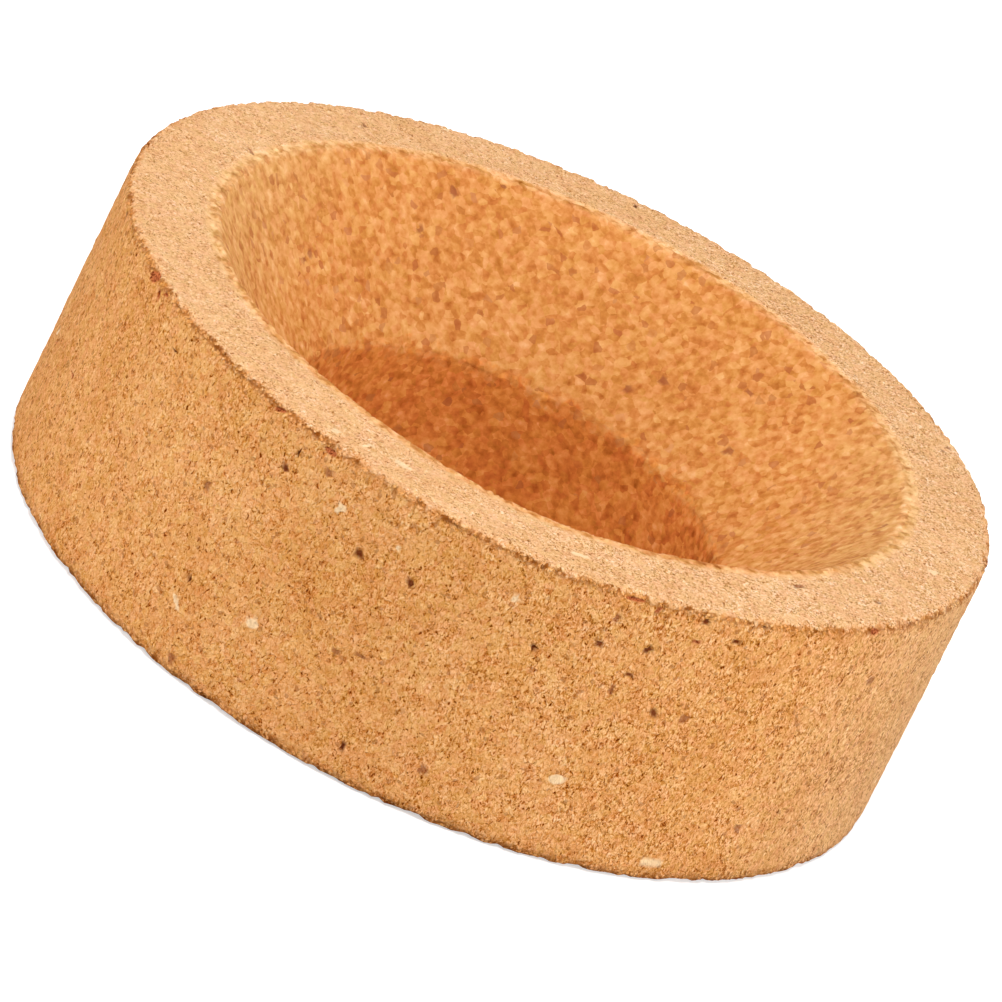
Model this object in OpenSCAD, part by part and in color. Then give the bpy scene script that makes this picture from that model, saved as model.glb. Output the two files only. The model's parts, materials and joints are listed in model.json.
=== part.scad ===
// Cork ring: a stand for round-bottom flasks, cut from one block of fine agglomerated cork.
// The ring stands on its flat underside, centred on the origin, with its axis along +Z.
// From the top it has a flat rim, a conical seat that narrows downwards, and a straight bore
// that runs out through the underside. The outer wall leans in slightly towards the rim, and
// the sharp edges are worn round.

/* [Ring] */
// Outer diameter of the ring at the underside
outer_d = 110; // [80:1:200]
// Height of the ring, from the underside to the rim
height = 35; // [25:1:80]
// How far the outer wall leans in between the underside and the rim
wall_draft = 0.8; // [0:0.1:3]
// Width of the flat rim, from the outer wall to the mouth of the seat
rim_w = 10.8; // [5:0.1:22]

/* [Flask seat] */
// Depth of the conical seat below the rim
seat_depth = 17.5; // [8:0.5:28]
// Diameter of the straight bore below the seat
bore_d = 53; // [20:1:76]

/* [Worn edges] */
// Rounding of the outer edge at the rim
top_edge_r = 1.2; // [0.4:0.1:2]
// Rounding of the mouth, between the rim and the seat
mouth_edge_r = 1.6; // [0.4:0.1:4]
// Rounding of the throat, between the seat and the bore
throat_edge_r = 2; // [0.4:0.1:6]
// Rounding of the outer edge at the underside
foot_edge_r = 1; // [0.4:0.1:3]
// Rounding of the bore's edge at the underside
outlet_edge_r = 1; // [0.4:0.1:3]

/* [Hidden] */

cork_colour = [0.87, 0.63, 0.38];
outer_r = outer_d / 2;
rim_outer_r = outer_r - wall_draft;
mouth_r = rim_outer_r - rim_w;
bore_r = bore_d / 2;
throat_z = height - seat_depth;
arc_proud = 0.001; // each arc stands this far proud, so that it crosses both its sides cleanly
$fn = 180;

// Sharp corners of half the ring's section, as [radius, height], anticlockwise from the
// bore's outlet, and the rounding that each one gets.
section_corners = [
    [bore_r, 0],
    [outer_r, 0],
    [rim_outer_r, height],
    [mouth_r, height],
    [bore_r, throat_z]
];
section_roundings = [outlet_edge_r, foot_edge_r, top_edge_r, mouth_edge_r, throat_edge_r];

function unit(v) = v / norm(v);

// Half the angle at corner b of the outline that runs a, b, c.
function half_angle(a, b, c) = acos(unit(a - b) * unit(c - b)) / 2;

// Where a rounding of radius r leaves the side that runs from corner b towards point p.
function tangent_point(b, p, r, half) = b + unit(p - b) * r / tan(half);

// Centre of a rounding of radius r at corner b.
function rounding_centre(a, b, c, r, half) = b + unit(unit(a - b) + unit(c - b)) * r / sin(half);

// A convex outline with each corner rounded by a true arc: the chords across the corners
// bound the polygon, and a circle at each corner fills it out to the arc.
module rounded_outline(corners, roundings) {
    last = len(corners) - 1;
    before = [for (i = [0:last]) corners[i == 0 ? last : i - 1]];
    after = [for (i = [0:last]) corners[i == last ? 0 : i + 1]];
    half = [for (i = [0:last]) half_angle(before[i], corners[i], after[i])];
    polygon([for (i = [0:last]) each [
        tangent_point(corners[i], before[i], roundings[i], half[i]),
        tangent_point(corners[i], after[i], roundings[i], half[i])
    ]]);
    for (i = [0:last])
        translate(rounding_centre(before[i], corners[i], after[i], roundings[i], half[i]))
            circle(r = roundings[i] + arc_proud);
}

// The ring: its rounded half section turned once about the axis.
module cork_ring() {
    color(cork_colour)
        rotate_extrude()
            rounded_outline(section_corners, section_roundings);
}

cork_ring();
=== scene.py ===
# Cork ring for a round-bottom flask: one block of fine agglomerated cork, turned to shape.
# Blender 4.5. All objects are in metres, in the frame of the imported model.

import json
import math

import bmesh
import bpy
import numpy as np
from mathutils import Matrix, Vector


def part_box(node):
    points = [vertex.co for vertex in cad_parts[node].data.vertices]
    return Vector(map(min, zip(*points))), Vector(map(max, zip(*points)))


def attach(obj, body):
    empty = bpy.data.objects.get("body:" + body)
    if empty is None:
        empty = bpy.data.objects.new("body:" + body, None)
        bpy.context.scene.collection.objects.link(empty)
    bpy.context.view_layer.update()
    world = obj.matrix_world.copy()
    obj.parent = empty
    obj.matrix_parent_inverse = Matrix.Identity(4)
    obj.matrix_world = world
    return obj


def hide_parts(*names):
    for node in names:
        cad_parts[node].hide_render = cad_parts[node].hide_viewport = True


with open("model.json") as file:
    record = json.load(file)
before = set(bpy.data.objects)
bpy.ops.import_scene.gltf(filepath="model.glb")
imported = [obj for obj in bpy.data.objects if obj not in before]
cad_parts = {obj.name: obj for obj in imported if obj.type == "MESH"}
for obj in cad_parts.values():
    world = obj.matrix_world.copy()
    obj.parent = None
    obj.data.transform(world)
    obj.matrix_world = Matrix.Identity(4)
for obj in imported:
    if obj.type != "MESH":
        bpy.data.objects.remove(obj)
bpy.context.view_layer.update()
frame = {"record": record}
mm = 0.001    # one millimetre in metres
middle = 0.5  # of a noise or a granule's random tone, which run from 0 to 1
mathNode, vectorMath, mapRange = "ShaderNodeMath", "ShaderNodeVectorMath", "ShaderNodeMapRange"
noise, voronoi, mixNode = "ShaderNodeTexNoise", "ShaderNodeTexVoronoi", "ShaderNodeMix"
joinVector, splitVector = "ShaderNodeCombineXYZ", "ShaderNodeSeparateXYZ"
colourResult = 2  # which output of a mix node is its colour, as all of them have one name
print("frame loaded")


def linearColour(hexCode):
    channels = [int(hexCode[i:i + 2], 16) / 255 for i in (1, 3, 5)]
    return [c / 12.92 if c <= 0.04045 else ((c + 0.055) / 1.055) ** 2.4 for c in channels] + [1.0]


def addNode(tree, kind, inputs=(), output=0, **settings):
    # inputs are given in order or by socket name, and the chosen output comes back
    node = tree.nodes.new(kind)
    for name, value in settings.items():
        setattr(node, name, value)
    pairs = inputs.items() if isinstance(inputs, dict) else enumerate(inputs)
    for key, value in pairs:
        sockets = [s for i, s in enumerate(node.inputs) if key in (i, s.identifier, s.name)]
        if isinstance(value, bpy.types.NodeSocket):
            tree.links.new(value, sockets[0])
        else:
            sockets[0].default_value = value
    return node.outputs[output] if len(node.outputs) else None


# The section of the ring, in millimetres. Its sizes and the frame's box give every place below.
_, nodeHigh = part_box("cork_ring")
boreMount = next(m for m in frame["record"]["mounts"] if m["name"] == "bore")
ringShape = {
    "Outer Radius": nodeHigh.x / mm,
    "Height": nodeHigh.z / mm,
    "Wall Draft": 0.8,
    "Rim Width": 11.2,     # 0.4 more than the solid's, towards the mouth
    "Seat Depth": 17.5,
    "Bore Radius": float(boreMount["dims"]["r_mm"]),
    "Outlet Edge": 1.0,
    "Foot Edge": 1.0,
    "Top Edge": 1.2,
    "Mouth Edge": 1.3,
    "Throat Edge": 2.0,
    "Edge Steps": 6,       # across each worn edge
    "Face Length": 0.85,
    "Hidden Faces": 1.8,   # how many times longer a face may be on the underside and in the bore
    "Tolerance": 0.01,     # how near counts as on the underside or in the bore
    "Steps Around": 432,
}
height = ringShape["Height"]
footRadius = ringShape["Outer Radius"]
rimRadius = footRadius - ringShape["Wall Draft"]
mouthRadius = rimRadius - ringShape["Rim Width"]
boreRadius = ringShape["Bore Radius"]
throatHeight = height - ringShape["Seat Depth"]


def turnedRingTree():
    tree = bpy.data.node_groups.new("turned ring", "GeometryNodeTree")
    for name, value in ringShape.items():
        kind = "NodeSocketInt" if isinstance(value, int) else "NodeSocketFloat"
        tree.interface.new_socket(name=name, in_out="INPUT", socket_type=kind)
    tree.interface.new_socket(name="Material", in_out="INPUT", socket_type="NodeSocketMaterial")
    tree.interface.new_socket(name="Geometry", in_out="OUTPUT", socket_type="NodeSocketGeometry")
    size = tree.nodes.new("NodeGroupInput").outputs

    # five sharp corners of the section: outlet, foot, top edge, mouth and throat
    rim = addNode(tree, mathNode, [size["Outer Radius"], size["Wall Draft"]], operation="SUBTRACT")
    mouth = addNode(tree, mathNode, [rim, size["Rim Width"]], operation="SUBTRACT")
    throat = addNode(tree, mathNode, [size["Height"], size["Seat Depth"]], operation="SUBTRACT")
    corners = [(size["Bore Radius"], 0.0), (size["Outer Radius"], 0.0), (rim, size["Height"]),
               (mouth, size["Height"]), (size["Bore Radius"], throat)]
    edges = ["Outlet Edge", "Foot Edge", "Top Edge", "Mouth Edge", "Throat Edge"]
    index = addNode(tree, "GeometryNodeInputIndex")
    cornerAt = addNode(tree, "GeometryNodeIndexSwitch", [index], data_type="VECTOR")
    edgeAt = addNode(tree, "GeometryNodeIndexSwitch", [index], data_type="FLOAT")
    for switch in (cornerAt.node, edgeAt.node):
        while len(switch.index_switch_items) < len(corners):
            switch.index_switch_items.new()
    for i, place in enumerate(corners):
        tree.links.new(addNode(tree, joinVector, place), cornerAt.node.inputs[i + 1])
        tree.links.new(size[edges[i]], edgeAt.node.inputs[i + 1])

    points = addNode(tree, "GeometryNodePoints", {"Count": len(corners), "Position": cornerAt})
    section = addNode(tree, "GeometryNodePointsToCurves", {"Points": points})
    section = addNode(tree, "GeometryNodeSetSplineCyclic", {"Geometry": section, "Cyclic": True})
    section = addNode(tree, "GeometryNodeFilletCurve",
                      {"Curve": section, "Count": size["Edge Steps"], "Radius": edgeAt},
                      mode="POLY")

    # the straight stretches between the rounded edges are cut to the face length
    position = addNode(tree, "GeometryNodeInputPosition")
    count = addNode(tree, "GeometryNodeSplineLength", output="Point Count")
    following = addNode(tree, mathNode, [index, 1.0], operation="ADD")
    following = addNode(tree, mathNode, [following, count], operation="MODULO")
    nextPoint = addNode(tree, "GeometryNodeFieldAtIndex",
                        {"Value": position, "Index": following}, data_type="FLOAT_VECTOR")
    gap = addNode(tree, vectorMath, [position, nextPoint], output="Value", operation="DISTANCE")
    both = addNode(tree, vectorMath, [position, nextPoint], operation="MAXIMUM")
    farther = addNode(tree, splitVector, [both])
    onUnderside = addNode(tree, mathNode, [farther.node.outputs["Y"], size["Tolerance"]],
                          operation="LESS_THAN")
    boreLimit = addNode(tree, mathNode, [size["Bore Radius"], size["Tolerance"]], operation="ADD")
    inBore = addNode(tree, mathNode, [farther, boreLimit], operation="LESS_THAN")
    hidden = addNode(tree, mathNode, [onUnderside, inBore], operation="MAXIMUM")
    longer = addNode(tree, mapRange, [hidden, 0.0, 1.0, 1.0, size["Hidden Faces"]])
    faceLength = addNode(tree, mathNode, [size["Face Length"], longer], operation="MULTIPLY")
    pieces = addNode(tree, mathNode, [gap, faceLength], operation="DIVIDE")
    pieces = addNode(tree, mathNode, [pieces], operation="CEIL")
    cuts = addNode(tree, mathNode, [pieces, 1.0], operation="SUBTRACT")
    section = addNode(tree, "GeometryNodeSubdivideCurve", {"Curve": section, "Cuts": cuts})

    # the section runs along a line one unit long, which is then wrapped once round the axis
    line = addNode(tree, "GeometryNodeCurvePrimitiveLine", {"Start": (0, 0, 0), "End": (1, 0, 0)})
    around = addNode(tree, mathNode, [size["Steps Around"], 1.0], operation="ADD")
    line = addNode(tree, "GeometryNodeResampleCurve", {"Curve": line, "Count": around})
    band = addNode(tree, "GeometryNodeCurveToMesh", {"Curve": line, "Profile Curve": section})
    flat = addNode(tree, splitVector, [position]).node.outputs
    turn = addNode(tree, mathNode, [flat["X"], -2 * math.pi], operation="MULTIPLY")
    radius = addNode(tree, mathNode, [flat["Y"]], operation="ABSOLUTE")
    across = addNode(tree, mathNode, [turn], operation="COSINE")
    along = addNode(tree, mathNode, [turn], operation="SINE")
    circle = addNode(tree, joinVector, [across, along])
    circle = addNode(tree, vectorMath, {"Vector": circle, "Scale": radius}, operation="SCALE")
    level = addNode(tree, mathNode, [flat["Z"]], operation="ABSOLUTE")
    level = addNode(tree, joinVector, {"Z": level})
    place = addNode(tree, vectorMath, [circle, level], operation="ADD")
    place = addNode(tree, vectorMath, {"Vector": place, "Scale": mm}, operation="SCALE")
    ring = addNode(tree, "GeometryNodeSetPosition", {"Geometry": band, "Position": place})
    weld = mm / 1000  # points nearer than this become one
    ring = addNode(tree, "GeometryNodeMergeByDistance", {"Geometry": ring, "Distance": weld})
    ring = addNode(tree, "GeometryNodeRealizeInstances", {"Geometry": ring})
    ring = addNode(tree, "GeometryNodeSetMaterial", {"Geometry": ring, "Material": size["Material"]})
    addNode(tree, "NodeGroupOutput", [ring])
    return tree


def evaluated(name, mesh, tree, values, material):
    holder = bpy.data.objects.new(name, mesh)
    bpy.context.scene.collection.objects.link(holder)
    modifier = holder.modifiers.new(tree.name, "NODES")
    modifier.node_group = tree
    for item in tree.interface.items_tree:
        if item.in_out == "INPUT" and item.name in values:
            modifier[item.identifier] = values[item.name]
        elif item.in_out == "INPUT" and item.name == "Material":
            modifier[item.identifier] = material
    graph = bpy.context.evaluated_depsgraph_get()
    result = bpy.data.meshes.new_from_object(holder.evaluated_get(graph), depsgraph=graph)
    bpy.data.objects.remove(holder)
    return result


# Faces are fewer down the bore, and finer along the worn edges and round each mark.
density = {
    "thinRadius": 34.0,    # inside this radius every second line of faces is dissolved
    "edges": [(1.8, 0.5), (0.95, 0.26)],  # how far from a worn edge, and the longest side there
    "edgeRounds": 1,       # how often sides that are too long are halved
    "marks": {"pit": 0.11, "bark": 0.19, "chip": 0.19, "flake": 0.22},  # longest side there
    "markReach": 1.4,      # how far finer faces spread from a mark's middle: 1 is its outline
    "markRounds": 3,
}
sharpEdges = {  # radius and height of each edge before wear, and how much it crumbles
    "top": (rimRadius, height, 0.5),
    "mouth": (mouthRadius, height, 0.3),
    "throat": (boreRadius, throatHeight, 0.4),
    "foot": (footRadius, 0.0, 0.6),
    "outlet": (boreRadius, 0.0, 0.5),
}


def thinned(bm):
    step = 2 * math.pi / ringShape["Steps Around"]
    limit = density["thinRadius"] * mm

    def onOddLine(vertex):
        return round(math.atan2(vertex.co.y, vertex.co.x) / step) % 2 == 1

    inner = {v for v in bm.verts if math.hypot(v.co.x, v.co.y) < limit and onOddLine(v)}
    lines = [e for e in bm.edges if e.verts[0] in inner and e.verts[1] in inner]
    bmesh.ops.dissolve_edges(bm, edges=lines, use_verts=True)


def refined(bm, near, longest, rounds):
    for _ in range(rounds):
        middles = np.array([(e.verts[0].co + e.verts[1].co) / 2 for e in bm.edges]) / mm
        lengths = np.array([e.calc_length() for e in bm.edges]) / mm
        chosen = near(middles) & (lengths > longest)
        edges = [e for e, wanted in zip(bm.edges, chosen) if wanted]
        bmesh.ops.subdivide_edges(bm, edges=edges, cuts=1, use_grid_fill=True)
    bmesh.ops.triangulate(bm, faces=[f for f in bm.faces if len(f.verts) > 4])


def nearWornEdges(reach):
    def near(points):
        radius = np.hypot(points[:, 0], points[:, 1])
        chosen = np.zeros(len(points), bool)
        for name in ("top", "mouth"):
            edgeRadius, edgeHeight, _ = sharpEdges[name]
            chosen |= np.hypot(radius - edgeRadius, points[:, 2] - edgeHeight) < reach
        return chosen
    return near


# Marks on the ring: angle round the axis in degrees, height above the underside (on the rim and
# the seat, the radius), length, width, and slope against the horizontal in degrees.
marks = {
    "pit": {  # open pores, sunk into the surface, painted dark red-brown inside as shade
        "wall": [(246.7, 28.7, 0.6, 0.5, 70), (252, 27.7, 0.5, 0.5, 0), (266, 25.5, 0.6, 0.4, 10),
                 (259, 25.4, 0.9, 0.3, 20), (281.5, 24.6, 0.7, 0.35, 60), (288.4, 27.7, 0.5, 0.5, 0),
                 (294, 28.6, 0.6, 0.45, 30), (247.3, 31.3, 0.35, 0.3, 0), (298.3, 21.3, 0.4, 0.25, 60),
                 (299.2, 33.5, 0.9, 0.3, 70), (293.5, 25, 0.45, 0.3, 20), (307, 34.2, 0.5, 0.3, 80)],
        "rim": [(258, 46.4, 0.4, 0.3, 0), (330, 50, 0.5, 0.3, 40)],
        "seat": [],
        "scattered": {"wall": 26, "rim": 6, "seat": 0},
        "length": (0.2, 0.45), "width": (0.15, 0.3),
    },
    "bark": {  # purple-brown crumbs of bark
        "wall": [(251.7, 31.4, 1.0, 0.4, 80),
                 (238.3, 21.4, 0.9, 0.4, 60), (302.4, 21.4, 1.4, 0.6, 20), (288.8, 31.2, 1.1, 0.5, 50),
                 (261.6, 13.9, 1.0, 0.6, 0), (264.5, 14.9, 1.1, 0.4, 0), (276.3, 5.9, 1.0, 0.5, 20)],
        "rim": [(318, 46, 1.4, 0.8, 0)],
        "seat": [(157.7, 34.6, 0.9, 0.7, 0), (120.7, 40.6, 1.6, 0.8, 60), (127, 36.7, 1.0, 0.5, 160),
                 (53.7, 36.6, 1.1, 0.5, 0), (74, 30.6, 0.9, 0.6, 30), (111.8, 42.2, 0.9, 0.5, 0)],
        "scattered": {"wall": 18, "rim": 4, "seat": 8},
        "length": (0.7, 1.5), "width": (0.35, 0.7),
    },
    "chip": {  # red-brown hollows along the top edge, where a crumb of bark has broken out
        "wall": [(215, 34.0, 2.6, 1.7, 35), (217.5, 33.2, 0.8, 0.5, 60), (219, 33.9, 0.7, 0.5, 0),
                 (242.8, 34.0, 1.6, 0.7, 30), (250.8, 33.6, 1.7, 0.8, 0), (324.7, 34.2, 1.7, 1.3, 0),
                 (290, 34.1, 2.4, 0.7, 5), (293, 33.6, 1.0, 0.5, 60)],
        "rim": [],
        "seat": [],
        "scattered": {"wall": 10, "rim": 0, "seat": 0},
        "length": (0.5, 1.0), "width": (0.3, 0.6),
    },
    "flake": {  # pale grains cut flat by the blade
        "wall": [(262.8, 28.4, 0.7, 0.5, 60), (277.2, 29.3, 0.9, 0.6, 70), (251.4, 11.4, 1.6, 1.2, 20),
                 (291, 10.4, 2.0, 1.3, 10), (241.5, 7.8, 2.2, 0.5, 140), (307.4, 2.7, 3.0, 0.4, 0)],
        "rim": [(258, 48.9, 2.2, 0.7, 10), (283, 49, 2.4, 0.8, 0)],
        "seat": [],
        "scattered": {"wall": 8, "rim": 4, "seat": 0},
        "length": (0.9, 2.0), "width": (0.3, 0.7),
    },
    "outline": 1.1,  # where a mark begins, in half lengths and half widths
    "fade": 0.4,     # and how far inside that it is whole
    "seed": 7,
}
scatterReach = {  # where scattered marks may lie: height on the wall, radius on the rim and the seat
    "wall": (1.5, height - 1.5),
    "rim": (mouthRadius + 1, rimRadius - 1),
    "seat": (boreRadius + 3, mouthRadius - 1),
}


def surfacePoint(face, angle, place):
    # a point on the wall, the rim or the seat, and the directions along and up the surface there
    turn = math.radians(angle)
    outward = Vector((math.cos(turn), math.sin(turn), 0))
    around = Vector((-math.sin(turn), math.cos(turn), 0))
    if face == "wall":
        radius = footRadius - ringShape["Wall Draft"] * place / height
        return outward * radius + Vector((0, 0, place)), around, Vector((0, 0, 1))
    if face == "rim":
        return outward * place + Vector((0, 0, height)), around, -outward
    slope = ringShape["Seat Depth"] / (mouthRadius - boreRadius)
    level = throatHeight + (place - boreRadius) * slope
    upward = (outward + Vector((0, 0, slope))).normalized()
    return outward * place + Vector((0, 0, level)), around, upward


def markList(kind, chance):
    found = []
    for face, reach in scatterReach.items():
        found += [(face,) + row for row in marks[kind][face]]
        for _ in range(marks[kind]["scattered"][face]):
            found.append((face, chance.uniform(0, 360), chance.uniform(*reach),
                          chance.uniform(*marks[kind]["length"]), chance.uniform(*marks[kind]["width"]),
                          chance.uniform(0, 180)))
    return found


def markDistances(points, rows):
    # for each mark, which points are close to it, and how far they are from its middle, in half
    # lengths and half widths: 1 at its outline
    for face, angle, place, length, width, lean in rows:
        centre, around, upward = surfacePoint(face, angle, place)
        away = points - np.array(centre)
        close = np.abs(away).max(1) < length
        if close.any():
            axis = around * math.cos(math.radians(lean)) + upward * math.sin(math.radians(lean))
            along = away[close] @ np.array(axis)
            across = np.sqrt(np.maximum((away[close] ** 2).sum(1) - along ** 2, 0))
            yield close, np.hypot(along * 2 / length, across * 2 / width)


def nearMarks(rows):
    def near(points):
        chosen = np.zeros(len(points), bool)
        for close, distance in markDistances(points, rows):
            chosen[close] |= distance < density["markReach"]
        return chosen
    return near


def marked(mesh, rows, kind):
    # each point keeps how far inside a mark it lies, from 0 at the outline to 1
    points = np.empty(len(mesh.vertices) * 3)
    mesh.vertices.foreach_get("co", points)
    points = points.reshape(-1, 3) / mm
    depth = np.zeros(len(points))
    for close, distance in markDistances(points, rows):
        inside = np.clip((marks["outline"] - distance) / marks["fade"], 0, 1)
        depth[close] = np.maximum(depth[close], inside)
    mesh.attributes.new(kind, "FLOAT", "POINT").data.foreach_set("value", depth)


# The granules are a solid pattern, which the shape and the material share, in millimetres.
granules = {
    "size": 0.95,       # middle of the 0.5 to 1 mm grade, with the glue film
    "bend": 0.7,        # how far a granule's outline is crushed out of shape
    "bendLength": 1.1,
}


def granulePattern(tree, place):
    # how far each place is crushed, the crushed place, and three random tones for each granule
    warp = addNode(tree, noise, {"Vector": place, "Scale": 1 / granules["bendLength"], "Detail": 2.0},
                   output="Color")
    warp = addNode(tree, vectorMath, [warp, [middle] * 3], operation="SUBTRACT")
    crushed = addNode(tree, vectorMath, [warp, [granules["bend"]] * 3, place], operation="MULTIPLY_ADD")
    cell = addNode(tree, voronoi, {"Vector": crushed, "Scale": 1 / granules["size"]},
                   output="Color", feature="F1")
    return warp, crushed, cell


# Relief, always inwards: depths, widths and reaches in millimetres, and scales per millimetre.
relief = {
    "Granule Step": 0.10,
    "Seam Depth": 0.08,
    "Seam Width": 0.16,
    "Fuzz Depth": 0.20,
    "Fuzz Scale": 1.5,
    "Waviness": 0.15,
    "Wave Scale": 0.07,
    "Seat Share": 0.55,    # how much of that the seat and the bore keep, which are ground smooth
    "Crumble Depth": 0.50,
    "Crumble Reach": 1.7,  # how far from the sharp corner
    "Crumble Core": 0.3,   # the share of that reach in which crumbs are lost the most
    "Crumb Scale": 0.9,
    "Crumb Roughness": 0.6,
    "Crumb Granules": 0.5,  # how much whole granules count in what is lost
    "Lost From": 0.72,     # the noise at which a crumb begins to go
    "Lost Whole": 0.90,    # and at which it is gone
    "Pit Depth": 0.28,
    "Bark Step": 0.10,
    "Chip Step": 0.25,
    "Rim Dip": 0.7,        # the rim is worn a little low on one side
    "Dip Angle": 275.0,    # degrees
    "Dip Spread": 18.0,    # the larger, the narrower the dip
}


def reliefTree():
    tree = bpy.data.node_groups.new("cork relief", "GeometryNodeTree")
    tree.interface.new_socket(name="Geometry", in_out="INPUT", socket_type="NodeSocketGeometry")
    for name in relief:
        tree.interface.new_socket(name=name, in_out="INPUT", socket_type="NodeSocketFloat")
    tree.interface.new_socket(name="Material", in_out="INPUT", socket_type="NodeSocketMaterial")
    tree.interface.new_socket(name="Geometry", in_out="OUTPUT", socket_type="NodeSocketGeometry")
    size = tree.nodes.new("NodeGroupInput").outputs
    position = addNode(tree, "GeometryNodeInputPosition")
    place = addNode(tree, vectorMath, {"Vector": position, "Scale": 1 / mm}, operation="SCALE")
    _, crushed, cell = granulePattern(tree, place)
    seam = addNode(tree, voronoi, {"Vector": crushed, "Scale": 1 / granules["size"]},
                   output="Distance", feature="DISTANCE_TO_EDGE")
    tone = addNode(tree, splitVector, [cell]).node.outputs

    depth = addNode(tree, mathNode, [tone["X"], size["Granule Step"]], operation="MULTIPLY")
    groove = addNode(tree, mapRange, [seam, size["Seam Width"], 0.0, 0.0, size["Seam Depth"]],
                     interpolation_type="SMOOTHSTEP")
    depth = addNode(tree, mathNode, [groove, depth], operation="ADD")
    fuzz = addNode(tree, noise, {"Vector": place, "Scale": size["Fuzz Scale"], "Detail": 3.0})
    depth = addNode(tree, mathNode, [fuzz, size["Fuzz Depth"], depth], operation="MULTIPLY_ADD")
    swell = addNode(tree, noise, {"Vector": place, "Scale": size["Wave Scale"], "Detail": 1.0})
    depth = addNode(tree, mathNode, [swell, size["Waviness"], depth], operation="MULTIPLY_ADD")

    # whole crumbs are lost along the edges, more in some places than in others
    parts = addNode(tree, splitVector, [place]).node.outputs
    level = addNode(tree, joinVector, [parts["X"], parts["Y"]])
    radius = addNode(tree, vectorMath, [level], output="Value", operation="LENGTH")
    section = addNode(tree, joinVector, [radius, parts["Z"]])
    border = 0.5  # millimetres, on each side of the mouth
    calm = addNode(tree, mapRange,
                   [radius, mouthRadius - border, mouthRadius + border, size["Seat Share"], 1.0])
    depth = addNode(tree, mathNode, [depth, calm], operation="MULTIPLY")
    onEdge = 0.0
    for edgeRadius, edgeHeight, share in sharpEdges.values():
        away = addNode(tree, vectorMath, [section, (edgeRadius, edgeHeight, 0.0)],
                       output="Value", operation="DISTANCE")
        away = addNode(tree, mathNode, [away, size["Crumble Reach"]], operation="DIVIDE")
        away = addNode(tree, mapRange, [away, 1.0, size["Crumble Core"], 0.0, share],
                       interpolation_type="SMOOTHSTEP")
        onEdge = addNode(tree, mathNode, [onEdge, away], operation="MAXIMUM")
    crumbs = addNode(tree, noise, {"Vector": place, "Scale": size["Crumb Scale"], "Detail": 3.0,
                                   "Roughness": size["Crumb Roughness"]})
    crumbs = addNode(tree, mathNode, [tone["Y"], size["Crumb Granules"], crumbs],
                     operation="MULTIPLY_ADD")
    lost = addNode(tree, mapRange, [crumbs, size["Lost From"], size["Lost Whole"]],
                   interpolation_type="SMOOTHSTEP")
    lost = addNode(tree, mathNode, [lost, onEdge], operation="MULTIPLY")
    depth = addNode(tree, mathNode, [lost, size["Crumble Depth"], depth], operation="MULTIPLY_ADD")
    for kind, amount in (("pit", "Pit Depth"), ("bark", "Bark Step"), ("chip", "Chip Step")):
        inside = addNode(tree, "GeometryNodeInputNamedAttribute", {"Name": kind}, data_type="FLOAT")
        depth = addNode(tree, mathNode, [inside, size[amount], depth], operation="MULTIPLY_ADD")
    normal = addNode(tree, "GeometryNodeInputNormal")
    inwards = addNode(tree, mathNode, [depth, -mm], operation="MULTIPLY")
    offset = addNode(tree, vectorMath, {"Vector": normal, "Scale": inwards}, operation="SCALE")

    # the rim's dip: deepest at its angle, and fading down the wall and the seat
    dipTurn = addNode(tree, mathNode, [size["Dip Angle"]], operation="RADIANS")
    across = addNode(tree, mathNode, [dipTurn], operation="COSINE")
    along = addNode(tree, mathNode, [dipTurn], operation="SINE")
    towards = addNode(tree, joinVector, [across, along])
    outward = addNode(tree, vectorMath, [level], operation="NORMALIZE")
    facing = addNode(tree, vectorMath, [outward, towards], output="Value", operation="DOT_PRODUCT")
    facing = addNode(tree, mathNode, [facing, 1.0], operation="SUBTRACT")
    facing = addNode(tree, mathNode, [facing, size["Dip Spread"]], operation="MULTIPLY")
    facing = addNode(tree, mathNode, [facing], operation="EXPONENT")
    high = addNode(tree, mapRange, [parts["Z"], throatHeight, height], interpolation_type="SMOOTHSTEP")
    dip = addNode(tree, mathNode, [facing, high], operation="MULTIPLY")
    dip = addNode(tree, mathNode, [dip, size["Rim Dip"]], operation="MULTIPLY")
    dip = addNode(tree, mathNode, [dip, -mm], operation="MULTIPLY")
    offset = addNode(tree, vectorMath, [offset, addNode(tree, joinVector, {"Z": dip})], operation="ADD")

    # the material reads each point's place before wear, and what the edge has lost
    worn = addNode(tree, "GeometryNodeStoreNamedAttribute",
                   {"Geometry": size["Geometry"], "Name": "blank", "Value": place},
                   data_type="FLOAT_VECTOR")
    for name, amount in (("lost", lost), ("nearEdge", onEdge)):
        worn = addNode(tree, "GeometryNodeStoreNamedAttribute",
                       {"Geometry": worn, "Name": name, "Value": amount}, data_type="FLOAT")
    worn = addNode(tree, "GeometryNodeSetPosition", {"Geometry": worn, "Offset": offset})
    worn = addNode(tree, "GeometryNodeSetShadeSmooth", {"Geometry": worn})
    worn = addNode(tree, "GeometryNodeRealizeInstances", {"Geometry": worn})
    worn = addNode(tree, "GeometryNodeSetMaterial", {"Geometry": worn, "Material": size["Material"]})
    addNode(tree, "NodeGroupOutput", [worn])
    return tree


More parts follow.
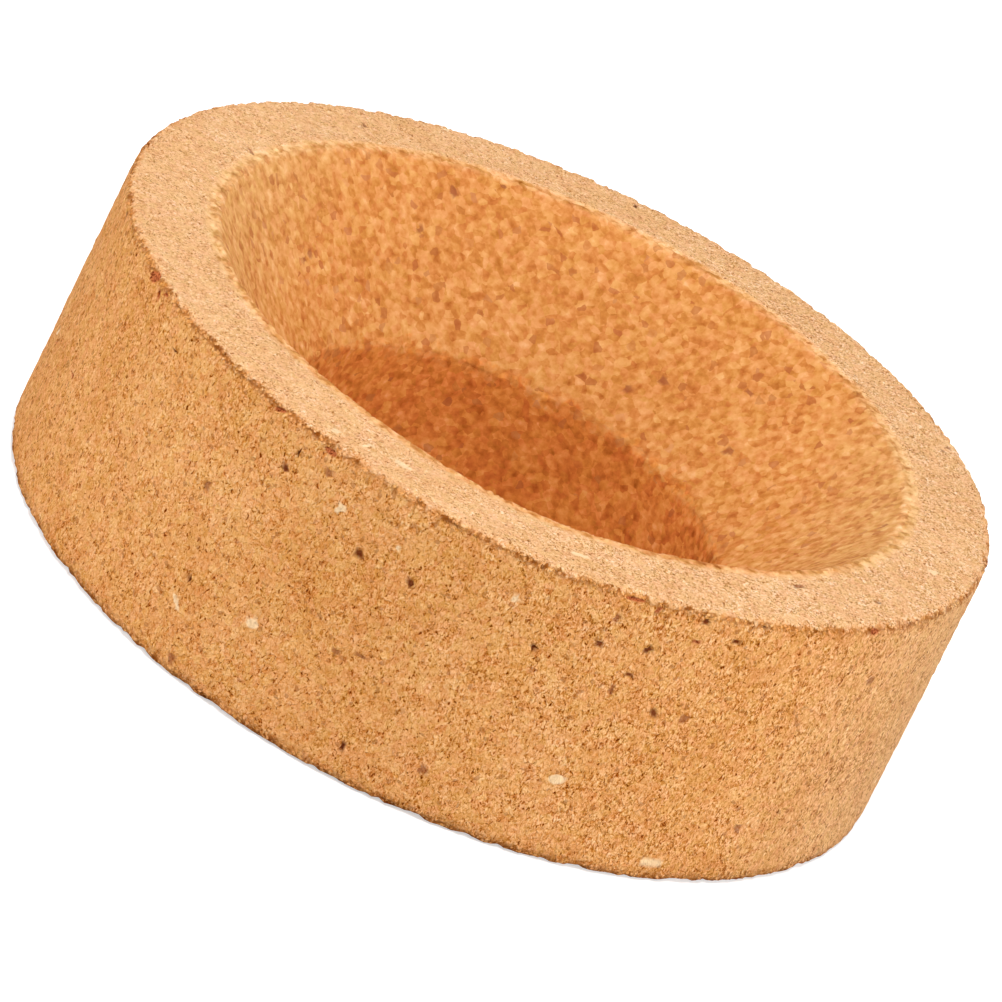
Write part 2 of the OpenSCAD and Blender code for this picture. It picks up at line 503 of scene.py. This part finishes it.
# Fine agglomerated cork: matt, tan where it is turned, paler and furred where the rim is sanded,
# and a deeper tan in the seat, which is ground smooth. A range gives where it starts and ends,
# and then what it yields there, which is 0 and 1 where nothing else is said.
cork = {
    # the colours of each finish, from the painted shade of open pores to pale grains
    "stops": [0.0, 0.22, 0.40, 0.52, 0.68, 1.0],
    "wall": ["#6e2c00", "#a85c14", "#d28c45", "#e2a261", "#f0b67a", "#ffd8a4"],
    "rim": ["#8c4c18", "#c28447", "#dfa76f", "#ebb681", "#f6c99a", "#fde4c4"],
    "seat": ["#80400e", "#a86129", "#bf7a3b", "#cb8a4b", "#d69a5d", "#e8bb8a"],
    "bore": ["#783308", "#a6571f", "#c26f2f", "#d07d38", "#de924a", "#f0b47a"],
    "speck": "#8a4410",          # crumbs of bark on the wall
    "seatSpeck": "#9c5232",      # granules of bark in the seat
    "edge": "#e69a50",           # fresh cork that the crumbled edge lays bare
    "gap": "#864410",            # painted shade between the crumbs of that edge
    "flake": "#fbdcb0",
    "chip": "#c4663a",
    # painted shade inside the pits, and in the chips' cracks
    "bark": "#8e4c30",
    "pit": "#682408",
    "roughness": 0.9,
    "specular": 0.05,

    # sizes and heights of the patterns in millimetres
    "grainSize": (0.30, 0.30, 0.50),  # along each granule's own axes
    "grainScale": 0.7,           # bumps in each grain
    "grainHeight": 0.15,
    "speckSize": (0.27, 0.27, 0.42),  # single cells, longer along the ring's axis
    "speckHeight": 0.30,
    "crumbSize": 0.46,           # torn crumbs of a granule
    "crumbHeight": 0.06,
    "patchSize": 2.2,
    "cloudSize": 9.0,
    "groundOff": 0.9,            # the share of these heights that grinding takes off in the seat

    # radius or height, in millimetres, at which each finish starts and at which it is whole
    "rimInner": (mouthRadius - 0.58, mouthRadius + 0.42),
    "rimOuter": (rimRadius - 0.13, rimRadius - 0.63),
    "rimLevel": (height - 1.2, height - 0.8),
    "seatEdge": (mouthRadius + 2, mouthRadius + 1),
    "seatFoot": (0.6, 1.2),
    "boreTop": (throatHeight + 0.6, throatHeight - 1.2),
    # the band of painted shade along the mouth's rounded edge
    "mouthShadeEdge": (mouthRadius + 1.8, mouthRadius + 0.5),
    "mouthFray": 0.6,            # how far the granules carry each of these borders to and fro
    "rimFray": 2.0,
    "boreFray": 6.0,

    # how much each pattern darkens or lightens a point, where the whole scale is 1
    "wallTone": 0.498,
    # the grain and the strokes are painted shade where their bumps are low and painted highlight where
    # they are high
    "wallGrain": 0.25,
    "wallGranule": 0.10,
    "stroke": 1.2,
    "rimStroke": 0.4,            # added to that on the rim
    "torn": (0.38, 0.62, 0.65, 1.15),      # strokes are stronger in some patches than in others
    "rougher": (-5.0, 25.0, 0.82, 1.16),   # and stronger towards +X, by place along X
    # painted shade in the open pores, where the strokes' bumps are lowest
    "poreShade": (0.34, 0.26, 0.0, -0.30),
    "seatCrushed": 0.78,
    "seatGranule": 0.22,
    "seatCrumb": 0.06,
    "seatStroke": 0.06,
    "cloud": 0.16,
    "mouthShade": -0.22,            # painted shade on the mouth's rounded edge, which faces the lamps

    # each granule's own hue, and a painted sheen that makes the ends of the ring, where they are seen
    # edge-on, paler and yellower
    "hue": 0.499,
    "granuleHue": 0.010,
    "seatSheen": (31.0, 41.0, 0.0, 0.4),    # by distance from the middle along X
    "wallSheen": (39.0, 55.0, 0.0, 0.8),    # by place along X, so at one end only
    "seatYellow": 0.02,
    "wallYellow": 0.008,
    "sheenPaleness": -0.13,

    # how much of each other colour shows
    "barkShare": (0.94, 0.97, 0.0, 0.45),
    "sandedOff": -0.7,           # the rim shows less bark
    "freshShare": 0.12,
    "gapShadeShare": (0.34, 0.56, 0.0, 2.8),
    "crackShade": (0.50, 0.38),     # painted shade in cracks across the chips
    "markEdge": (0.1, 0.7),
    "markShare": {"lost": 0.4, "flake": 0.78, "chip": 0.85, "bark": 0.68, "pit": 0.92},
}


def corkPatterns(tree):
    place = addNode(tree, "ShaderNodeTexCoord", output="Object")
    place = addNode(tree, vectorMath, {"Vector": place, "Scale": 1 / mm}, operation="SCALE")
    warp, crushed, cell = granulePattern(tree, place)
    crushedBy = addNode(tree, splitVector, [warp]).node.outputs
    granule = addNode(tree, splitVector, [cell]).node.outputs

    # each granule's cells run their own way
    turn = addNode(tree, vectorMath, {"Vector": cell, "Scale": 2 * math.pi}, operation="SCALE")
    turned = addNode(tree, "ShaderNodeVectorRotate", {"Vector": crushed, "Rotation": turn},
                     rotation_type="EULER_XYZ")
    turned = addNode(tree, vectorMath, [turned, cork["grainSize"]], operation="DIVIDE")
    grain = addNode(tree, noise, {"Vector": turned, "Scale": cork["grainScale"], "Detail": 2.0,
                                  "Roughness": 0.5})
    crumb = addNode(tree, voronoi, {"Vector": crushed, "Scale": 1 / cork["crumbSize"]}, feature="F1")
    crumbTone = addNode(tree, splitVector, [crumb.node.outputs["Color"]]).node.outputs
    cells = addNode(tree, vectorMath, [place, cork["speckSize"]], operation="DIVIDE")
    speck = addNode(tree, noise, {"Vector": cells, "Scale": 1.0, "Detail": 1.0, "Roughness": 0.6,
                                  "Distortion": 1.0})
    patch = addNode(tree, noise, {"Vector": place, "Scale": 1 / cork["patchSize"], "Detail": 1.0})
    cloud = addNode(tree, noise, {"Vector": place, "Scale": 1 / cork["cloudSize"], "Detail": 1.0})
    nearEdge = addNode(tree, "ShaderNodeAttribute", output="Fac", attribute_name="nearEdge")
    blank = addNode(tree, "ShaderNodeAttribute", output="Vector", attribute_name="blank")
    blank = addNode(tree, splitVector, [blank]).node.outputs
    return {
        "crushedX": crushedBy["X"], "crushedZ": crushedBy["Z"], "grain": grain, "speck": speck,
        "granule": granule["X"], "granuleBark": granule["Y"], "granuleHue": granule["Z"],
        "crumb": crumb, "crumbTone": crumbTone["X"], "crumbBark": crumbTone["Y"],
        "patch": patch, "cloud": cloud, "nearEdge": nearEdge,
        "blankX": blank["X"], "blankY": blank["Y"], "blankZ": blank["Z"],
    }


def corkZones(tree, pattern):
    # which finish a point has, from 0 to 1, by its place before wear
    level = addNode(tree, joinVector, [pattern["blankX"], pattern["blankY"]])
    radius = addNode(tree, vectorMath, [level], output="Value", operation="LENGTH")
    frayed = {}
    for fray, bend, place in (("mouthFray", "crushedX", radius), ("rimFray", "crushedX", radius),
                              ("boreFray", "crushedZ", pattern["blankZ"])):
        frayed[fray] = addNode(tree, mathNode, [pattern[bend], cork[fray], place],
                               operation="MULTIPLY_ADD")
    borders = {
        "rim": {"rimInner": frayed["mouthFray"], "rimOuter": frayed["rimFray"],
                "rimLevel": pattern["blankZ"]},
        "seat": {"seatEdge": frayed["mouthFray"], "seatFoot": pattern["blankZ"]},
        "bore": {"boreTop": frayed["boreFray"]},
        "mouthShade": {"mouthShadeEdge": frayed["mouthFray"]},
    }
    zones = {}
    for name, limits in borders.items():
        zone = 1.0
        for limit, value in limits.items():
            within = addNode(tree, mapRange, [value, *cork[limit]])
            zone = addNode(tree, mathNode, [zone, within], operation="MULTIPLY")
        zones[name] = zone
    for part, whole in (("bore", "seat"), ("mouthShade", "rim")):
        zones[part] = addNode(tree, mathNode, [zones[part], zones[whole]], operation="MULTIPLY")
    sanded = addNode(tree, mathNode, [zones["rim"], zones["seat"]], operation="MAXIMUM")
    zones["wall"] = addNode(tree, mathNode, [1.0, sanded], operation="SUBTRACT")
    return zones


def corkTone(tree, pattern, zones):
    # how dark or pale a point is: open pores in torn patches on the wall and the rim, and whole
    # granules in the seat. On the wall and the rim the grain and the strokes are painted shade where
    # their bumps are low and painted highlight where they are high, and the pores are painted shade
    # in the lowest hollows
    centred = {name: addNode(tree, mathNode, [pattern[name], middle], operation="SUBTRACT")
               for name in ("grain", "speck", "granule", "crumbTone", "cloud")}
    torn = addNode(tree, mapRange, [pattern["patch"], *cork["torn"]], interpolation_type="SMOOTHSTEP")
    rougher = addNode(tree, mapRange, [pattern["blankX"], *cork["rougher"]])
    torn = addNode(tree, mathNode, [torn, rougher], operation="MULTIPLY")
    stroke = addNode(tree, mathNode, [centred["speck"], torn], operation="MULTIPLY")
    strokeDepth = addNode(tree, mathNode, [zones["rim"], cork["rimStroke"], cork["stroke"]],
                          operation="MULTIPLY_ADD")
    poreShade = addNode(tree, mapRange, [pattern["speck"], *cork["poreShade"]], interpolation_type="SMOOTHSTEP")
    wallTone = cork["wallTone"]
    for part, weight in ((centred["grain"], cork["wallGrain"]), (stroke, strokeDepth), (poreShade, 1.0),
                         (centred["granule"], cork["wallGranule"])):
        wallTone = addNode(tree, mathNode, [part, weight, wallTone], operation="MULTIPLY_ADD")
    seatTone = middle
    for part, weight in ((pattern["crushedX"], "seatCrushed"), (centred["granule"], "seatGranule"),
                         (centred["crumbTone"], "seatCrumb"), (centred["speck"], "seatStroke")):
        seatTone = addNode(tree, mathNode, [part, cork[weight], seatTone], operation="MULTIPLY_ADD")
    tone = addNode(tree, mixNode,
                   {"Factor_Float": zones["seat"], "A_Float": wallTone, "B_Float": seatTone})
    # slow clouds of tone, then painted shade along the mouth's rounded edge
    for part, weight in ((centred["cloud"], "cloud"), (zones["mouthShade"], "mouthShade")):
        tone = addNode(tree, mathNode, [part, cork[weight], tone], operation="MULTIPLY_ADD")
    return tone


def corkTan(tree, pattern, zones, tone):
    # the tan of each finish, laid over the one before
    colour = None
    for finish in ("wall", "seat", "bore", "rim"):
        scale = addNode(tree, "ShaderNodeValToRGB", [tone])
        stops = scale.node.color_ramp.elements
        while len(stops) < len(cork["stops"]):
            stops.new(1.0)
        for stop, where, hexCode in zip(stops, cork["stops"], cork[finish]):
            stop.position = where
            stop.color = linearColour(hexCode)
        if colour:
            scale = addNode(tree, mixNode,
                            {"Factor_Float": zones[finish], "A_Color": colour, "B_Color": scale},
                            output=colourResult, data_type="RGBA")
        colour = scale

    # each granule's own hue, and the painted sheen at the ends
    sideways = addNode(tree, mathNode, [pattern["blankX"]], operation="ABSOLUTE")
    seatSheen = addNode(tree, mapRange, [sideways, *cork["seatSheen"]])
    seatSheen = addNode(tree, mathNode, [seatSheen, zones["seat"]], operation="MULTIPLY")
    wallSheen = addNode(tree, mapRange, [pattern["blankX"], *cork["wallSheen"]])
    wallSheen = addNode(tree, mathNode, [wallSheen, zones["wall"]], operation="MULTIPLY")
    pale = addNode(tree, mathNode, [seatSheen, wallSheen], operation="ADD")
    saturation = addNode(tree, mathNode, [pale, cork["sheenPaleness"], 1.0], operation="MULTIPLY_ADD")
    ownHue = addNode(tree, mathNode, [pattern["granuleHue"], middle], operation="SUBTRACT")
    hue = cork["hue"]
    for part, weight in ((seatSheen, "seatYellow"), (wallSheen, "wallYellow"), (ownHue, "granuleHue")):
        hue = addNode(tree, mathNode, [part, cork[weight], hue], operation="MULTIPLY_ADD")
    return addNode(tree, "ShaderNodeHueSaturation",
                   {"Hue": hue, "Saturation": saturation, "Color": colour})


def corkColour(tree, pattern, zones, colour):
    # crumbs of bark on the wall, and whole granules of it in the seat
    barkCell = addNode(tree, mixNode, {"Factor_Float": zones["seat"], "A_Float": pattern["crumbBark"],
                                       "B_Float": pattern["granuleBark"]})
    barkShare = addNode(tree, mapRange, [barkCell, *cork["barkShare"]])
    unsanded = addNode(tree, mathNode, [zones["rim"], cork["sandedOff"], 1.0],
                       operation="MULTIPLY_ADD")
    barkShare = addNode(tree, mathNode, [barkShare, unsanded], operation="MULTIPLY")
    barkColour = addNode(tree, mixNode, {"Factor_Float": zones["seat"],
                                         "A_Color": linearColour(cork["speck"]),
                                         "B_Color": linearColour(cork["seatSpeck"])},
                         output=colourResult, data_type="RGBA")

    # the crumbled edge, with painted shade in the gaps between its crumbs, and the marks
    crumbly = addNode(tree, mathNode, [zones["wall"], pattern["nearEdge"]], operation="MULTIPLY")
    fresh = addNode(tree, mathNode, [crumbly, cork["freshShare"]], operation="MULTIPLY")
    gap = addNode(tree, mapRange, [pattern["crumb"], *cork["gapShadeShare"]],
                  interpolation_type="SMOOTHSTEP")
    gap = addNode(tree, mathNode, [gap, crumbly], operation="MULTIPLY")
    gap = addNode(tree, mathNode, [gap, pattern["patch"]], operation="MULTIPLY")
    inside = {}
    for name, share in cork["markShare"].items():
        mark = addNode(tree, "ShaderNodeAttribute", output="Fac", attribute_name=name)
        inside[name] = addNode(tree, mapRange, [mark, *cork["markEdge"], 0.0, share])
    # painted shade in cracks across the chips, in the pits' colour
    crackShade = addNode(tree, mapRange, [pattern["speck"], *cork["crackShade"]],
                      interpolation_type="SMOOTHSTEP")
    crackShade = addNode(tree, mathNode, [crackShade, inside["chip"]], operation="MULTIPLY")

    layers = [
        (barkShare, barkColour),
        (fresh, linearColour(cork["edge"])),
        (gap, linearColour(cork["gap"])),
        (inside["lost"], linearColour(cork["edge"])),
        (inside["flake"], linearColour(cork["flake"])),
        (inside["chip"], linearColour(cork["chip"])),
        (crackShade, linearColour(cork["pit"])),
        (inside["bark"], linearColour(cork["bark"])),
        (inside["pit"], linearColour(cork["pit"])),
    ]
    for share, over in layers:
        colour = addNode(tree, mixNode, {"Factor_Float": share, "A_Color": colour, "B_Color": over},
                         output=colourResult, data_type="RGBA")
    return colour


def corkBumps(tree, pattern, zones):
    # relief too fine for the mesh, in millimetres: smoother in the seat, coarser at the edges
    step = addNode(tree, mathNode, [pattern["crumbTone"], pattern["crumb"]], operation="SUBTRACT")
    coarse = addNode(tree, mathNode, [pattern["nearEdge"], 1.0], operation="ADD")
    step = addNode(tree, mathNode, [step, coarse], operation="MULTIPLY")
    bumps = addNode(tree, mathNode, [step, cork["crumbHeight"]], operation="MULTIPLY")
    for part, weight in (("grain", "grainHeight"), ("speck", "speckHeight")):
        bumps = addNode(tree, mathNode, [pattern[part], cork[weight], bumps],
                        operation="MULTIPLY_ADD")
    kept = addNode(tree, mathNode, [zones["seat"], -cork["groundOff"], 1.0], operation="MULTIPLY_ADD")
    return addNode(tree, mathNode, [bumps, kept], operation="MULTIPLY")


def corkMaterial():
    material = bpy.data.materials.new("agglomerated cork")
    material.use_nodes = True
    tree = material.node_tree
    tree.nodes.clear()
    pattern = corkPatterns(tree)
    zones = corkZones(tree, pattern)
    tone = corkTone(tree, pattern, zones)
    tan = corkTan(tree, pattern, zones, tone)
    colour = corkColour(tree, pattern, zones, tan)
    bumps = corkBumps(tree, pattern, zones)
    normal = addNode(tree, "ShaderNodeBump", {"Height": bumps, "Distance": mm, "Strength": 1.0})
    shader = addNode(tree, "ShaderNodeBsdfPrincipled", {
        "Base Color": colour, "Roughness": cork["roughness"], "Normal": normal,
        "Specular IOR Level": cork["specular"]})
    addNode(tree, "ShaderNodeOutputMaterial", {"Surface": shader})
    return material


corkFinish = corkMaterial()
empty = bpy.data.meshes.new("empty")
blankMesh = evaluated("ringBlank", empty, turnedRingTree(), ringShape, corkFinish)
chance = np.random.default_rng(marks["seed"])
markRows = {kind: markList(kind, chance) for kind in density["marks"]}
bm = bmesh.new()
bm.from_mesh(blankMesh)
thinned(bm)
for reach, longest in density["edges"]:
    refined(bm, nearWornEdges(reach), longest, density["edgeRounds"])
for kind, longest in density["marks"].items():
    refined(bm, nearMarks(markRows[kind]), longest, density["markRounds"])
# a point with two sides only, which the halving left in the middle of a side, is taken out
bmesh.ops.dissolve_verts(bm, verts=[v for v in bm.verts if len(v.link_edges) == 2])
bm.to_mesh(blankMesh)
bm.free()
for kind, rows in markRows.items():
    marked(blankMesh, rows, kind)
print("ring turned:", len(blankMesh.polygons), "faces")
ringMesh = evaluated("ringRelief", blankMesh, reliefTree(), relief, corkFinish)
ring = bpy.data.objects.new("cork_ring_body", ringMesh)
bpy.context.scene.collection.objects.link(ring)
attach(ring, "root")
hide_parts("cork_ring")
print("relief cut:", sum(len(p.vertices) - 2 for p in ringMesh.polygons), "triangles")

studio = {
    "floorWidth": 4.0,
    "floorWhite": 0.7,
    "floorLift": 0.55,      # added for the camera only, so that the open floor shows white
    "worldStrength": 0.22,
}
lamps = {  # place in metres, width in metres, power in watts
    "keyLight": ((0.02, -0.55, 0.80), 0.16, 5.65),
    "topLight": ((-0.1, 0.15, 0.90), 0.30, 2.8),
    "softboxLeft": ((-0.9, -0.2, 0.30), 0.5, 4.9),
    "softboxRight": ((0.9, -0.2, 0.30), 0.5, 5.4),
}
lens = {  # metres, degrees, and millimetres for the focal length
    "aim": (0.82 * mm, 0.08 * mm, 14.19 * mm),
    "distance": 0.6613,
    "elevation": 24.2,
    "roll": 26.29,
    "focal": 204.9,
    "clipEnd": 20.0,
}


def floorMaterial():
    # white paper sweep: matt and even
    material = bpy.data.materials.new("white paper sweep")
    material.use_nodes = True
    tree = material.node_tree
    tree.nodes.clear()
    paper = addNode(tree, "ShaderNodeBsdfDiffuse", {"Color": [studio["floorWhite"]] * 3 + [1.0]})
    ray = addNode(tree, "ShaderNodeLightPath", output="Is Camera Ray")
    lift = addNode(tree, mathNode, [ray, studio["floorLift"]], operation="MULTIPLY")
    lift = addNode(tree, "ShaderNodeEmission", {"Strength": lift})
    both = addNode(tree, "ShaderNodeAddShader", [paper, lift])
    addNode(tree, "ShaderNodeOutputMaterial", {"Surface": both})
    return material


bpy.ops.mesh.primitive_plane_add(size=studio["floorWidth"])
floor = bpy.context.object
floor.name = "floor"
floor.data.materials.append(floorMaterial())

world = bpy.data.worlds.new("studio")
bpy.context.scene.world = world
world.use_nodes = True
worldTree = world.node_tree
worldTree.nodes.clear()
cameraRay = addNode(worldTree, "ShaderNodeLightPath", output="Is Camera Ray")
strength = addNode(worldTree, mapRange, [cameraRay, 0.0, 1.0, studio["worldStrength"], 1.0])
sky = addNode(worldTree, "ShaderNodeBackground", {"Color": (1, 1, 1, 1), "Strength": strength})
addNode(worldTree, "ShaderNodeOutputWorld", {"Surface": sky})

for name, (place, width, power) in lamps.items():
    light = bpy.data.lights.new(name, "AREA")
    light.size = width
    light.energy = power
    lamp = bpy.data.objects.new(name, light)
    lamp.location = place
    lamp.rotation_euler = (-Vector(place)).to_track_quat("-Z", "Y").to_euler()
    bpy.context.scene.collection.objects.link(lamp)

elevation, roll = math.radians(lens["elevation"]), math.radians(lens["roll"])
back = Vector((0.0, -math.cos(elevation), math.sin(elevation)))
levelRight = Vector((1.0, 0.0, 0.0))
levelUp = back.cross(levelRight)
right = levelRight * math.cos(roll) + levelUp * math.sin(roll)
up = levelUp * math.cos(roll) - levelRight * math.sin(roll)
cameraData = bpy.data.cameras.new("camera")
cameraData.lens = lens["focal"]
cameraData.clip_end = lens["clipEnd"]
camera = bpy.data.objects.new("camera", cameraData)
bpy.context.scene.collection.objects.link(camera)
turn = Matrix((right, up, back)).transposed()
camera.matrix_world = Matrix.Translation(Vector(lens["aim"]) + back * lens["distance"]) @ turn.to_4x4()
bpy.context.scene.camera = camera
bpy.context.scene.view_settings.view_transform = "Standard"
print("floor, light and camera set")
